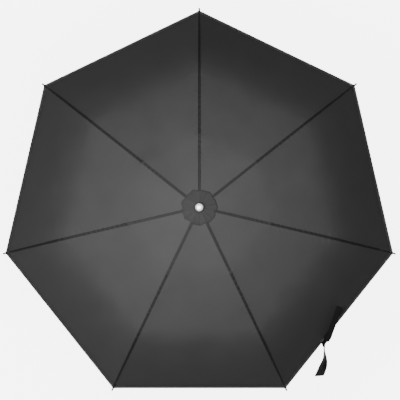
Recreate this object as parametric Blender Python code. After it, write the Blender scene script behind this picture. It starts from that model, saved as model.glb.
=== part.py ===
"""Three-fold umbrella, open: telescopic shaft on +Z, canopy at the top, flat end of the handle at z = 0."""

import math

import bmesh
import bpy
import numpy as np

MM = 0.001

# Layout of the frame, in millimetres
RIBS = 7
FIRST_RIB_DEG = 90.0
CROWN_Z = 541.0  # height of the ring that the inner ribs hang on
RING_R = 9.2  # radius of the ring in the crown and of the ring in the runner
INNER_LENGTH, MIDDLE_LENGTH, OUTER_LENGTH = 164.0, 176.0, 184.0
INNER_SLOPE, MIDDLE_SLOPE, OUTER_SLOPE = 12.0, 17.0, 42.0  # degrees below horizontal
KNEE_OFFSET = 3.0  # pivots lie above the first knee's centre lines and below the second's
STRUT = 95.0  # crown ring to strut pivot, and strut pivot to runner ring
BOW = 5.0  # outward bow of the outer rib

# Sections
GAP = 0.3
EYE_R, HOLE_R, PIN_R = 1.6, 0.9, 0.6
WIRE_R = 0.55
TAB_HALF = 0.8  # half thickness of a single lug
FORK_IN, FORK_OUT = 1.1, 1.7
INNER_HALF, INNER_LOW, INNER_HIGH, INNER_WALL = 2.0, -1.2, 2.0, 0.5
MIDDLE_HALF, MIDDLE_LOW, MIDDLE_HIGH, MIDDLE_WALL = 1.7, -1.6, 1.6, 0.4
STRUT_HALF, STRUT_R, STRUT_NECK, STRUT_LEDGE = 1.2, 1.2, 24.0, 14.0
ROD_R, LINK_R = 1.3, 0.6
TIP_R, TIP_LENGTH, TIP_BORE, TIP_COVER = 2.3, 12.0, 1.65, 8.0

# Shaft: outer radius, inner radius, bottom, top
UPPER_TUBE = (6.6, 6.0, 334.0, 536.2)
MIDDLE_TUBE = (5.65, 5.05, 204.0, 366.0)
LOWER_TUBE = (4.7, 4.1, 8.0, 236.0)
TUBE_SIDES = 24

# Crown, runner, ferrule and handle
SLOT_HALF = 1.1
CROWN_R, CROWN_LOW, CROWN_HIGH, CROWN_CORE = 11.0, 536.5, 545.3, 7.2
POST_R, POST_TOP = 4.0, 557.0
RUNNER_R, RUNNER_BORE, RUNNER_BODY, RUNNER_CORE = 11.0, 6.97, 8.2, 8.25
RUNNER_UP, RUNNER_DOWN, COLLAR_DOWN = 3.3, 14.5, 4.0
CAP_R, CAP_LOW, CAP_TOP = 9.5, 550.0, 563.8
HANDLE_TOP, HANDLE_R = 64.0, 14.0
END_CAP_R, END_CAP_THICK = 11.0, 3.0
BUTTON_Z, BUTTON_R, BUTTON_DEG = 47.0, 4.6, 270.0

# Fabric
FABRIC = 1.0  # thickness, measured straight up
FABRIC_LIFT, FABRIC_LIFT_TIP = 5.8, 3.6  # above the ribs' centre lines
PANEL_INNER_R = 5.6
RIM_BACK = 10.0  # the hem ends this far before the rib's end
SEAM_HALF = 0.25
SAG = 7.0  # dip of each panel halfway between two ribs, at the second knee
ROSETTE_R, ROSETTE_LIFT, ROSETTE_THICK = 40.0, 1.6, 0.8
STRAP_WIDTH, STRAP_THICK, STRAP_LIFT = 20.0, 1.0, 1.6
STRAP_SEWN, STRAP_RIM, STRAP_FREE = (327.0, -230.0), (300.0, -309.0), (287.0, -399.0)
STRAP_CUT = 9.0  # slant of the free end

COLOURS = {
    "steel": ((0.42, 0.43, 0.45), 0.35, 0.9),
    "bright": ((0.82, 0.83, 0.85), 0.25, 0.9),
    "plastic": ((0.03, 0.03, 0.032), 0.5, 0.0),
    "grip": ((0.02, 0.02, 0.022), 0.7, 0.0),
    "cap": ((0.80, 0.80, 0.79), 0.3, 0.3),
    "fabric": ((0.045, 0.046, 0.05), 0.8, 0.0),
    "trim": ((0.02, 0.02, 0.022), 0.8, 0.0),
}


def unit(deg):
    """Direction at an angle above horizontal, in a rib's own plane of radius and height."""
    return np.array([math.cos(math.radians(deg)), math.sin(math.radians(deg))])


def leg(start, slope, x, y):
    """Point at x along and y above a line that falls outward at the slope."""
    return np.asarray(start) + x * unit(-slope) + y * unit(90.0 - slope)


CROWN = np.array([RING_R, CROWN_Z])
KNEE_1 = leg(CROWN, INNER_SLOPE, INNER_LENGTH, KNEE_OFFSET)
MIDDLE_START = leg(KNEE_1, MIDDLE_SLOPE, 0.0, -KNEE_OFFSET)
KNEE_2 = leg(MIDDLE_START, MIDDLE_SLOPE, MIDDLE_LENGTH, -KNEE_OFFSET)
OUTER_START = leg(KNEE_2, OUTER_SLOPE, 0.0, KNEE_OFFSET)
STRUT_PIVOT = leg(CROWN, INNER_SLOPE, STRUT, 0.0)
RUNNER_Z = CROWN_Z - 2 * STRUT * math.sin(math.radians(INNER_SLOPE))


def rib_deg(index):
    return FIRST_RIB_DEG + index * 360.0 / RIBS


def in_plane(points, deg):
    """World points from (radius, height, sideways) rows in the vertical plane at an azimuth."""
    c, s = math.cos(math.radians(deg)), math.sin(math.radians(deg))
    r, z, w = np.asarray(points, float).T
    return np.column_stack([r * c - w * s, r * s + w * c, z])


def material(name, kind):
    colour, rough, metal = COLOURS[kind]
    made = bpy.data.materials.new(name)
    made.use_nodes = True
    shader = made.node_tree.nodes["Principled BSDF"]
    shader.inputs["Base Color"].default_value = (*colour, 1.0)
    shader.inputs["Roughness"].default_value = rough
    shader.inputs["Metallic"].default_value = metal
    made.diffuse_color = (*colour, 1.0)
    return made


def mesh_object(name, points, faces):
    mesh = bpy.data.meshes.new(name)
    mesh.from_pydata((np.asarray(points, float) * MM).tolist(), [], [tuple(f) for f in faces])
    work = bmesh.new()
    work.from_mesh(mesh)
    bmesh.ops.recalc_face_normals(work, faces=work.faces)
    work.to_mesh(mesh)
    work.free()
    made = bpy.data.objects.new(name, mesh)
    bpy.context.scene.collection.objects.link(made)
    return made


def prism(outline, place):
    """Solid between place(point, 0) and place(point, 1) of a closed outline."""
    count = len(outline)
    points = [place(p, 0) for p in outline] + [place(p, 1) for p in outline]
    sides = [(i, (i + 1) % count, (i + 1) % count + count, i + count) for i in range(count)]
    return points, [tuple(range(count))[::-1], tuple(range(count, 2 * count)), *sides]


def plate(outline, low, high, start, slope):
    """Flat plate in a rib's plane: outline in (along, above), thickness from low to high sideways."""
    def place(p, side):
        r, z = leg(start, slope, *p)
        return r, z, (low, high)[side]

    points, faces = prism(outline, place)
    return mesh_object("plate", in_plane(points, 0.0), faces)


def channel(low_x, high_x, section, start, slope):
    """Length of rolled section: outline in (sideways, above), swept along the rib."""
    def place(p, end):
        r, z = leg(start, slope, (low_x, high_x)[end], p[1])
        return r, z, p[0]

    points, faces = prism(section, place)
    return mesh_object("channel", in_plane(points, 0.0), faces)


def u_section(half, low, high, wall):
    return [(-half, low), (-half, high), (half, high), (half, low),
            (half - wall, low), (half - wall, high - wall), (wall - half, high - wall), (wall - half, low)]


def circle(x, y, radius, first=0.0, last=360.0, count=16):
    whole = last - first >= 360.0
    steps = count if whole else count + 1
    angles = np.radians(first + (last - first) * np.arange(steps) / count)
    return [(x + radius * math.cos(a), y + radius * math.sin(a)) for a in angles]


def pin(x, y, radius, half, start, slope, count=12):
    return plate(circle(x, y, radius, count=count), -half, half, start, slope)


def lathe(name, profile, sides=TUBE_SIDES, centre=(0.0, 0.0)):
    """Solid of revolution about a vertical line, from a closed profile of (radius, height)."""
    points, rings = [], []
    for radius, height in profile:
        if radius < 1e-6:
            rings.append([len(points)] * sides)
            points.append((centre[0], centre[1], height))
            continue
        rings.append(list(range(len(points), len(points) + sides)))
        for k in range(sides):
            a = 2 * math.pi * k / sides
            points.append((centre[0] + radius * math.cos(a), centre[1] + radius * math.sin(a), height))
    faces = []
    for i, ring in enumerate(rings):
        after = rings[(i + 1) % len(rings)]
        for k in range(sides):
            m = (k + 1) % sides
            corners = list(dict.fromkeys((ring[k], ring[m], after[m], after[k])))
            if len(corners) > 2:
                faces.append(corners)
    return mesh_object(name, points, faces)


def tube(name, size, sides=TUBE_SIDES):
    outer, inner, low, high = size
    return lathe(name, [(outer, low), (outer, high), (inner, high), (inner, low)], sides)


def box(low, high):
    corners = [(x, y, z) for x in (low[0], high[0]) for y in (low[1], high[1]) for z in (low[2], high[2])]
    faces = [(0, 1, 3, 2), (4, 6, 7, 5), (0, 4, 5, 1), (2, 3, 7, 6), (0, 2, 6, 4), (1, 5, 7, 3)]
    return mesh_object("box", corners, faces)


def turned(obj, deg):
    c, s = math.cos(math.radians(deg)), math.sin(math.radians(deg))
    for vertex in obj.data.vertices:
        x, y, z = vertex.co
        vertex.co = (x * c - y * s, x * s + y * c, z)
    return obj


def combined(first, others, operation):
    """First joined to, or cut by, each of the others, which are used up."""
    for other in others:
        step = first.modifiers.new("step", "BOOLEAN")
        step.operation, step.solver, step.object = operation, "EXACT", other
        bpy.context.view_layer.update()
        evaluated = first.evaluated_get(bpy.context.evaluated_depsgraph_get())
        result = bpy.data.meshes.new_from_object(evaluated)
        first.modifiers.remove(step)
        first.data = result
        bpy.data.objects.remove(other)
    return first


def finish(obj, name, kind, origin=(0.0, 0.0, 0.0), parent=None):
    """Name, material and an origin, in millimetres, on the piece's own joint."""
    obj.name = obj.data.name = name
    obj.data.materials.clear()
    obj.data.materials.append(material(name + "_material", kind))
    shift = np.asarray(origin, float) * MM
    for vertex in obj.data.vertices:
        vertex.co = (vertex.co[0] - shift[0], vertex.co[1] - shift[1], vertex.co[2] - shift[2])
    obj.location = shift
    if parent:
        bpy.context.view_layer.update()
        obj.parent = parent
        obj.matrix_parent_inverse = parent.matrix_world.inverted()
    return obj


def copies(pattern, name, kind, pivot):
    """One copy of the pattern at every rib, with its origin on its pivot."""
    made = []
    for index in range(RIBS):
        mesh = pattern.data.copy()
        obj = bpy.data.objects.new(name, mesh)
        bpy.context.scene.collection.objects.link(obj)
        turned(obj, rib_deg(index))
        origin = in_plane([(pivot[0], pivot[1], 0.0)], rib_deg(index))[0]
        made.append(finish(obj, f"{name}_{index + 1}", kind, origin))
    bpy.data.objects.remove(pattern)
    return made


# Ribs


def eye_plate(x, y, corners, low, high, start, slope):
    """Plate whose outline is the hull of an eye and the given corners."""
    points = np.array([*circle(x, y, EYE_R, count=20), *corners])
    return plate(hull(points), low, high, start, slope)


def hull(points):
    points = sorted(map(tuple, np.asarray(points, float)))

    def half(rows):
        kept = []
        for p in rows:
            while len(kept) > 1 and cross(kept[-2], kept[-1], p) <= 1e-9:
                kept.pop()
            kept.append(p)
        return kept[:-1]

    return half(points) + half(points[::-1])


def cross(a, b, c):
    return (b[0] - a[0]) * (c[1] - a[1]) - (b[1] - a[1]) * (c[0] - a[0])


def inner_rib():
    frame = (CROWN, INNER_SLOPE)
    section = u_section(INNER_HALF, INNER_LOW, INNER_HIGH, INNER_WALL)
    rib = channel(8.0, INNER_LENGTH - 8.0, section, *frame)
    tab = eye_plate(0.0, 0.0, [(13.0, -0.9), (13.0, 1.8)], -TAB_HALF, TAB_HALF, *frame)
    end = INNER_LENGTH
    knee = eye_plate(end, KNEE_OFFSET, [(end - 13.0, 1.6), (end - 13.0, 1.9)], -TAB_HALF, TAB_HALF, *frame)
    rivet = pin(STRUT, 0.0, 0.45, INNER_HALF + 0.35, *frame)
    holes = [pin(0.0, 0.0, HOLE_R, 3.0, *frame), pin(end, KNEE_OFFSET, HOLE_R, 3.0, *frame)]
    return combined(combined(rib, [tab, knee, rivet], "UNION"), holes, "DIFFERENCE")


def fork(x, y, corners, frame):
    cheeks = [eye_plate(x, y, corners, side * FORK_IN, side * FORK_OUT, *frame) for side in (-1, 1)]
    return [*cheeks, pin(x, y, PIN_R, FORK_OUT - 0.1, *frame)]


def middle_rib():
    frame = (MIDDLE_START, MIDDLE_SLOPE)
    section = u_section(MIDDLE_HALF, MIDDLE_LOW, MIDDLE_HIGH, MIDDLE_WALL)
    rib = channel(8.0, MIDDLE_LENGTH - 8.0, section, *frame)
    near = fork(0.0, KNEE_OFFSET, [(12.0, -1.3), (12.0, 1.3)], frame)
    end = MIDDLE_LENGTH
    knee = eye_plate(end, -KNEE_OFFSET, [(end - 12.0, 0.9), (end - 12.0, 1.4)], -TAB_HALF, TAB_HALF, *frame)
    hole = pin(end, -KNEE_OFFSET, HOLE_R, 3.0, *frame)
    return combined(combined(rib, [*near, knee], "UNION"), [hole], "DIFFERENCE")


def bow_at(x):
    """Height of the outer rib's bow, and its slope, at x along its chord."""
    low, high = 18.0, OUTER_LENGTH
    share = min(max((x - low) / (high - low), 0.0), 1.0)
    return BOW * 4 * share * (1 - share)


def rod(stations, radius, sides, start, slope):
    """Round rod through (along, above) stations, closed at both ends."""
    stations = np.asarray(stations, float)
    ways = np.gradient(stations, axis=0)
    ways /= np.linalg.norm(ways, axis=1)[:, None]
    points = []
    for (x, y), (dx, dy) in zip(stations, ways):
        for k in range(sides):
            a = 2 * math.pi * k / sides
            up, side = radius * math.cos(a), radius * math.sin(a)
            points.append((*leg(start, slope, x - dy * up, y + dx * up), side))
    last = len(stations) - 1
    faces = [
        (i * sides + k, i * sides + (k + 1) % sides, (i + 1) * sides + (k + 1) % sides, (i + 1) * sides + k)
        for i in range(last) for k in range(sides)
    ]
    faces += [tuple(range(sides)), tuple(range(last * sides, (last + 1) * sides))[::-1]]
    return mesh_object("rod", in_plane(points, 0.0), faces)


def outer_rib():
    frame = (OUTER_START, OUTER_SLOPE)
    stations = [(x, bow_at(x)) for x in np.linspace(14.0, OUTER_LENGTH, 11)]
    body = rod(stations, ROD_R, 10, *frame)
    socket = channel(8.0, 24.0, [(-1.7, -1.6), (-1.7, 1.6), (1.7, 1.6), (1.7, -1.6)], *frame)
    near = fork(0.0, -KNEE_OFFSET, [(12.0, -1.3), (12.0, 1.3)], frame)
    return combined(socket, [body, *near], "UNION")


def tip_slope():
    step = 4.0
    return math.degrees(math.atan2(bow_at(OUTER_LENGTH - step), step))


def rib_tip():
    """Blunt cap over the end of the rib, with a blind bore."""
    end = leg(OUTER_START, OUTER_SLOPE, OUTER_LENGTH, 0.0)
    slope = OUTER_SLOPE + tip_slope()
    back, front = -TIP_COVER, TIP_LENGTH - TIP_COVER
    profile = [(TIP_BORE, back), (TIP_BORE, GAP + 0.1), (0.0, GAP + 0.1), (0.0, front), (1.5, front - 0.2),
               (TIP_R, front - 1.3), (TIP_R, front - 3.4), (TIP_R - 0.3, front - 4.2), (TIP_R - 0.3, back)]
    made = lathe("tip", profile, 14)
    for vertex in made.data.vertices:
        side, up, along = (value / MM for value in vertex.co)
        r, z = leg(end, slope, along, up)
        vertex.co = (r * MM, side * MM, z * MM)
    return recalculated(made)


def recalculated(obj):
    work = bmesh.new()
    work.from_mesh(obj.data)
    bmesh.ops.recalc_face_normals(work, faces=work.faces)
    work.to_mesh(obj.data)
    work.free()
    return obj


def strut():
    """Stretcher from its rivet in the inner rib down to the runner's ring."""
    down = 180.0 - INNER_SLOPE
    frame = (STRUT_PIVOT, down)

    def bar(outline, half):
        return plate([(x, -y) for x, y in outline], -half, half, *frame)

    neck, ledge = STRUT - STRUT_NECK, STRUT - STRUT_LEDGE
    body = bar(hull([*circle(0.0, 0.0, STRUT_R), (neck, STRUT_R), (neck, -STRUT_R)]), STRUT_HALF)
    step = [(neck - 3.0, -STRUT_R), (STRUT + 0.5, -2.1), (STRUT + 0.5, -0.9), (ledge, -0.9),
            (ledge - 2.0, STRUT_R), (neck - 3.0, STRUT_R)]
    narrow = bar(step, TAB_HALF)
    return combined(combined(body, [narrow], "UNION"), [pin(0.0, 0.0, 0.75, 3.0, *frame)], "DIFFERENCE")


def link_wire():
    """Thin wire that lies in the middle rib's channel, with both ends bent up."""
    frame = (MIDDLE_START, MIDDLE_SLOPE)
    low, high = 12.5, MIDDLE_LENGTH - 14.0
    bend = [(0.0, -1.5), (0.8, -0.6), (2.5, -0.2)]
    stations = [(low + x, y) for x, y in bend] + [(high - x, y) for x, y in bend[::-1]]
    return rod(stations, LINK_R, 8, *frame)


# Crown, runner, shaft


def slots(core, reach, low, high):
    made = []
    for index in range(RIBS):
        made.append(turned(box((core, -SLOT_HALF, low), (reach, SLOT_HALF, high)), rib_deg(index)))
    return made


def ring_wire(height):
    """Ring of round wire that the eyes turn on."""
    profile = circle(RING_R, height, WIRE_R, count=8)
    return lathe("ring", profile, 42)


def crown():
    """Slotted crown with its wire ring, a plug below for the tube and a post above for the ferrule."""
    profile = [(0.0, CROWN_LOW - 16.0), (5.7, CROWN_LOW - 16.0), (5.7, CROWN_LOW), (CROWN_R - 0.6, CROWN_LOW),
               (CROWN_R, CROWN_LOW + 0.6), (CROWN_R, CROWN_HIGH - 0.8), (CROWN_R - 0.8, CROWN_HIGH),
               (POST_R, CROWN_HIGH), (POST_R, POST_TOP), (0.0, POST_TOP)]
    cuts = slots(CROWN_CORE, 14.0, CROWN_LOW - 1, CROWN_HIGH + 1)
    body = combined(lathe("crown", profile, 42), cuts, "DIFFERENCE")
    return combined(body, [ring_wire(CROWN_Z)], "UNION")


def runner():
    """Sleeve that slides on the upper tube, with a slotted collar and its wire ring."""
    z = RUNNER_Z
    profile = [(RUNNER_BORE, z - RUNNER_DOWN), (RUNNER_BODY, z - RUNNER_DOWN), (RUNNER_BODY, z - COLLAR_DOWN),
               (RUNNER_R, z - COLLAR_DOWN), (RUNNER_R, z + RUNNER_UP), (RUNNER_BORE, z + RUNNER_UP)]
    cuts = slots(RUNNER_CORE, 14.0, z - COLLAR_DOWN - 1, z + RUNNER_UP + 1)
    body = combined(lathe("runner", profile, 42), cuts, "DIFFERENCE")
    return combined(body, [ring_wire(z)], "UNION")


def ferrule():
    low, top = CAP_LOW, CAP_TOP
    profile = [(POST_R + GAP, low), (POST_R + GAP, POST_TOP + GAP), (0.0, POST_TOP + GAP), (0.0, top),
               (3.5, top - 0.25), (6.3, top - 1.3), (8.2, top - 3.1), (9.2, top - 5.4), (CAP_R, top - 8.2),
               (CAP_R, low + 2.4), (CAP_R - 0.9, low + 1.2), (CAP_R - 1.0, low)]
    return lathe("ferrule", profile, 28)


def handle():
    top = HANDLE_TOP
    profile = [(END_CAP_R + GAP, 0.0), (HANDLE_R - 1.6, 0.0), (HANDLE_R - 0.4, 1.0), (HANDLE_R, 3.0),
               (HANDLE_R - 0.5, 16.0), (HANDLE_R - 1.3, 28.0), (HANDLE_R - 0.6, 39.0), (HANDLE_R, 47.0),
               (HANDLE_R - 0.4, 55.0), (HANDLE_R - 2.2, 60.5), (HANDLE_R - 5.0, 63.4), (HANDLE_R - 6.5, top),
               (LOWER_TUBE[0] + GAP, top), (LOWER_TUBE[0] + GAP, 60.0), (10.0, 57.0), (10.8, 50.0),
               (10.0, 28.0), (END_CAP_R + GAP, 12.0)]
    body = lathe("handle", profile, 32)
    bore = side_disc(BUTTON_R + GAP, 5.0, 18.0, BUTTON_Z, 20)
    return combined(body, [bore], "DIFFERENCE")


def side_disc(radius, low, high, height, count):
    """Cylinder that points out sideways at the button's azimuth."""
    outline = circle(0.0, height, radius, count=count)
    points, faces = prism(outline, lambda p, end: ((low, high)[end], p[1], p[0]))
    return mesh_object("disc", in_plane(points, BUTTON_DEG), faces)


def button():
    """Push button with a domed face and a flange that keeps it in the handle."""
    rows = [(7.6, 2.6), (9.2, 2.6), (9.2, BUTTON_R - 0.5), (13.6, BUTTON_R - 0.5), (14.4, BUTTON_R - 1.0),
            (15.0, BUTTON_R - 2.4)]
    sides, points = 20, []
    for out, radius in rows:
        points += [(out, z, w) for w, z in circle(0.0, BUTTON_Z, radius, count=sides)]
    last = len(rows) - 1
    faces = []
    for i in range(last):
        for k in range(sides):
            a, b = i * sides + k, i * sides + (k + 1) % sides
            faces.append((a, b, b + sides, a + sides))
    faces += [tuple(range(sides)), tuple(range(last * sides, (last + 1) * sides))[::-1]]
    return mesh_object("button", in_plane(points, BUTTON_DEG), faces)


def end_cap():
    """Disc that closes the handle and carries the flat end, with a spigot inside the lower tube."""
    profile = [(0.0, 0.0), (END_CAP_R, 0.0), (END_CAP_R, END_CAP_THICK), (6.4, END_CAP_THICK),
               (6.4, 20.0), (5.0, 20.0), (5.0, 7.6), (0.0, 7.6)]
    return lathe("cap", profile, 32)


# Fabric


def rib_profile():
    """Stations of the fabric over a rib: radius and height of its mid surface."""
    rows = [leg(CROWN, INNER_SLOPE, x, FABRIC_LIFT) for x in (-4.9, 30.0, 70.0, 115.0, 148.0)]
    rows.append(leg(KNEE_1, (INNER_SLOPE + MIDDLE_SLOPE) / 2, 0.0, FABRIC_LIFT - KNEE_OFFSET + 0.4))
    rows += [leg(MIDDLE_START, MIDDLE_SLOPE, x, FABRIC_LIFT) for x in (18.0, 50.0, 95.0, 135.0, 162.0)]
    end = OUTER_LENGTH - RIM_BACK
    for x in (14.0, 40.0, 70.0, 100.0, 130.0, 155.0, end):
        lift = FABRIC_LIFT + (FABRIC_LIFT_TIP - FABRIC_LIFT) * x / end
        rows.append(leg(OUTER_START, OUTER_SLOPE, x, lift + bow_at(x)))
    return np.array(rows)


PROFILE = rib_profile()
HALF_PANEL = math.pi / RIBS


def sag_at(radius):
    """Dip of the fabric halfway between two ribs: none at the crown, least at the taut hem."""
    share = (radius - PROFILE[0, 0]) / (PROFILE[-1, 0] - PROFILE[0, 0])
    return SAG * math.sin(math.pi * min(max(share, 0.0), 1.0))


def fabric_height(x, y):
    """Height of the canopy's mid surface over a point of the plan, in millimetres."""
    azimuth = math.degrees(math.atan2(y, x)) - FIRST_RIB_DEG
    off = math.radians((azimuth % (360.0 / RIBS)) - 180.0 / RIBS)
    radius = math.hypot(x, y) * math.cos(off) / math.cos(HALF_PANEL)
    across = math.tan(off) / math.tan(HALF_PANEL)
    return float(np.interp(radius, *PROFILE.T)) - sag_at(radius) * (1 - across * across)


def two_skins(columns, low_lift, high_lift):
    """Closed thin solid over a grid of plan points, rows by columns, following the canopy."""
    rows, cols = columns.shape[:2]
    points = []
    for lift in (low_lift, high_lift):
        points += [(x, y, fabric_height(x, y) + lift) for x, y in columns.reshape(-1, 2)]
    return skin_faces(points, rows, cols)


def skin_faces(points, rows, cols, closed=False):
    """Faces of two stacked grids and the walls round their open edges."""
    count = rows * cols
    wrap = cols if closed else cols - 1
    faces = []
    for i in range(rows - 1):
        for j in range(wrap):
            m = (j + 1) % cols
            quad = (i * cols + j, i * cols + m, (i + 1) * cols + m, (i + 1) * cols + j)
            faces += [quad, tuple(count + v for v in quad[::-1])]
    for i in (0, rows - 1):
        for j in range(wrap):
            a, b = i * cols + j, i * cols + (j + 1) % cols
            faces.append((a, b, b + count, a + count))
    if not closed:
        for j in (0, cols - 1):
            for i in range(rows - 1):
                a, b = i * cols + j, (i + 1) * cols + j
                faces.append((a, b, b + count, a + count))
    return points, faces


def panel(index):
    """One gore of the canopy, between this rib and the next."""
    first, last = rib_deg(index), rib_deg(index + 1)
    rows = []
    for radius in PROFILE[:, 0]:
        a = in_plane([(radius, 0.0, SEAM_HALF)], first)[0, :2]
        b = in_plane([(radius, 0.0, -SEAM_HALF)], last)[0, :2]
        rows.append([a + (b - a) * t for t in np.linspace(0.0, 1.0, 7)])
    points, faces = two_skins(np.array(rows), -FABRIC / 2, FABRIC / 2)
    return mesh_object("panel", points, faces)


def rosette():
    """Round reinforcing patch over the crown."""
    cols = 42
    rows = []
    for radius in (PANEL_INNER_R, 14.0, 27.0, ROSETTE_R):
        angles = math.radians(FIRST_RIB_DEG) + 2 * math.pi * np.arange(cols) / cols
        rows.append([(radius * math.cos(a), radius * math.sin(a)) for a in angles])
    grid = np.array(rows)
    points = []
    for lift in (ROSETTE_LIFT - ROSETTE_THICK / 2, ROSETTE_LIFT + ROSETTE_THICK / 2):
        points += [(x, y, fabric_height(x, y) + lift) for x, y in grid.reshape(-1, 2)]
    return mesh_object("rosette", *skin_faces(points, *grid.shape[:2], closed=True))


def strap():
    """Closure strap: flat on one panel up to the hem, then free beyond it with a slanted end."""
    sewn, rim, free = map(np.array, (STRAP_SEWN, STRAP_RIM, STRAP_FREE))
    rows = []
    for t in np.linspace(0.0, 1.0, 7):
        rows.append((sewn + (rim - sewn) * t, 0.0))
    for t in np.linspace(0.0, 1.0, 9)[1:]:
        rows.append((rim + (free - rim) * t, t))
    way = (rim - sewn) / np.linalg.norm(rim - sewn)
    across = np.array([-way[1], way[0]])
    low = []
    edge_z = fabric_height(*rim) + STRAP_LIFT
    for middle, t in rows:
        for side in (-0.5, 0.0, 0.5):
            spot = middle + across * STRAP_WIDTH * side + way * STRAP_CUT * side * t
            z = fabric_height(*spot) + STRAP_LIFT if t == 0.0 else edge_z - 74.0 * t - 22.0 * t * t
            low.append((*spot, z))
    points = [(x, y, z + STRAP_THICK * face) for face in (-0.5, 0.5) for x, y, z in low]
    return mesh_object("strap", *skin_faces(points, len(rows), 3))


def build_shaft():
    finish(tube("t", UPPER_TUBE), "upper_tube", "steel", (0, 0, UPPER_TUBE[2]))
    finish(tube("t", MIDDLE_TUBE), "middle_tube", "steel", (0, 0, MIDDLE_TUBE[2]))
    finish(tube("t", LOWER_TUBE), "lower_tube", "steel", (0, 0, LOWER_TUBE[2]))
    finish(crown(), "top_notch", "plastic", (0, 0, CROWN_Z))
    finish(ferrule(), "ferrule_cap", "cap", (0, 0, CAP_LOW))
    finish(runner(), "runner", "plastic", (0, 0, RUNNER_Z))
    finish(handle(), "handle_grip", "grip")
    finish(end_cap(), "handle_cap", "plastic")
    spot = in_plane([(12.0, BUTTON_Z, 0.0)], BUTTON_DEG)[0]
    finish(button(), "handle_button", "plastic", spot)


def build_ribs():
    copies(inner_rib(), "inner_rib", "steel", CROWN)
    copies(strut(), "stretcher", "steel", STRUT_PIVOT)
    copies(middle_rib(), "middle_rib", "steel", KNEE_1)
    copies(link_wire(), "link_wire", "bright", KNEE_1)
    copies(outer_rib(), "outer_rib", "bright", KNEE_2)
    copies(rib_tip(), "rib_tip", "plastic", KNEE_2)


def build_fabric():
    for index in range(RIBS):
        finish(panel(index), f"canopy_panel_{index + 1}", "fabric", (0, 0, CROWN_Z))
    finish(rosette(), "top_rosette", "trim", (0, 0, CROWN_Z))
    finish(strap(), "closure_strap", "trim", (*STRAP_RIM, 0))


def main():
    for obj in list(bpy.data.objects):
        bpy.data.objects.remove(obj)
    build_shaft()
    build_ribs()
    build_fabric()


main()
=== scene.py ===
"""Looks of an open three-fold umbrella: canopy, trim, frame finishes, light and camera."""

import math

import bmesh
import bpy
import numpy as np
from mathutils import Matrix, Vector, noise


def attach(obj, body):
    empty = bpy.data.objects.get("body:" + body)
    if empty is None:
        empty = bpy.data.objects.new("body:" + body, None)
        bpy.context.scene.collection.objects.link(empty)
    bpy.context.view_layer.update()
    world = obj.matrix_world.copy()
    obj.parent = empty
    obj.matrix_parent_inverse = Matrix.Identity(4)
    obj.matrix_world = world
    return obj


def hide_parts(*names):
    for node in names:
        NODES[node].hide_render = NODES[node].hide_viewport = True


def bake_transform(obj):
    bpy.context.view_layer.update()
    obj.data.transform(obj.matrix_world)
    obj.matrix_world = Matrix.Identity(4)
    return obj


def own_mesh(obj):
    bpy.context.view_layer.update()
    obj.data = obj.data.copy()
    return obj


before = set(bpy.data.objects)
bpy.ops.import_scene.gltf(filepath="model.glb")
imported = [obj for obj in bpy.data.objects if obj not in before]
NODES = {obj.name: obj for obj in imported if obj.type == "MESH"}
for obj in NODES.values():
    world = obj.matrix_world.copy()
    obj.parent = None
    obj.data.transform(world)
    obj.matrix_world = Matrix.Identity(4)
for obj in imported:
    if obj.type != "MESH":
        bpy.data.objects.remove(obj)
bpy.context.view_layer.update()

# Layout of the frame, in metres and degrees
RIBS = 7
FIRST = 90.0  # azimuth of rib 1
HALF = math.pi / RIBS  # angle from a rib to mid-panel
PARTS = ("inner", "middle", "outer")  # the segments of a rib
LENGTHS = (0.164, 0.176, 0.184)
SLOPES = (12.0, 17.0, 42.0)
CROWN = np.array([0.0092, 0.541])  # radius and height of the hinges on the crown
KNEE = 0.003  # from a knee's pin to the middle of either segment
BUTTON_Z = 0.047

# The fabric over it
LIFT, LIFT_TIP = 0.0058, 0.0036  # height over the middle of a rib, and at its tip
BOW = 0.005  # outward bend of the outer rib
SAG = 0.007  # dip at mid-panel
HEM_BACK = 0.010  # from a rib's end back to the hem
KNEE_REACH = 0.007  # distance from a knee to the points just before and after it
THREAD = 0.00022  # radius of a stitch
HEM_INSET = 0.0062  # from the rim back to the hem's stitches
HEM_SECTION = ((-0.0075, -0.0003), (-0.0075, -0.0010), (0.0002, -0.0010), (0.0007, -0.0002),
               (0.0002, 0.0006), (-0.0075, 0.0005), (-0.0078, 0.0001))  # beyond the rim, over the fabric
ROSETTE_R, ROSETTE_HOLE = 0.0405, 0.0046
ROSETTE_UP = 0.0017  # height over the canopy
ROSETTE_NECK = 0.22  # share of the radius that stays on the crown
ROSETTE_STITCHED = 0.0365
STRAP_PLAN = ((0.327, -0.230), (0.2995, -0.3105), (0.2875, -0.399))  # sewn end, rim, free end
STRAP_HALF, STRAP_THICK = 0.0100, 0.0006
STRAP_RIB = 4  # index of the rib that carries it
STRAP_SLANT = 0.0065  # how far each edge of its free end is ahead of or behind the middle
SEWN_ROWS, HANGING_ROWS, SLANTED_ROWS = 26, 44, 13

# Stage: metres, watts and radians
FLOOR_REACH, FLOOR_Z = 9.0, -0.0015
FLOOR_GLOW, FAR_GLOW = 6.0, 0.35  # emission under the object, and away from it
GLOW_FROM, GLOW_TO = 0.74, 1.05  # distances between which it fades
KEY = ((-0.27, -0.12, 1.28), 0.60, 15.5)  # place, diameter and power
SECOND = ((0.17, 0.06, 1.18), 0.50, 5.0)
WORLD_GREY = (0.06, 0.06, 0.06)
CAMERA_FAR, CAMERA_TILT = 8.0, 0.021
CAMERA_TARGET = (0.0016, 0.0193, 0.435)
LENS_PER_METRE = 38.35  # millimetres of lens for each metre of distance

UP = (0.0, 0.0, 1.0)

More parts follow.
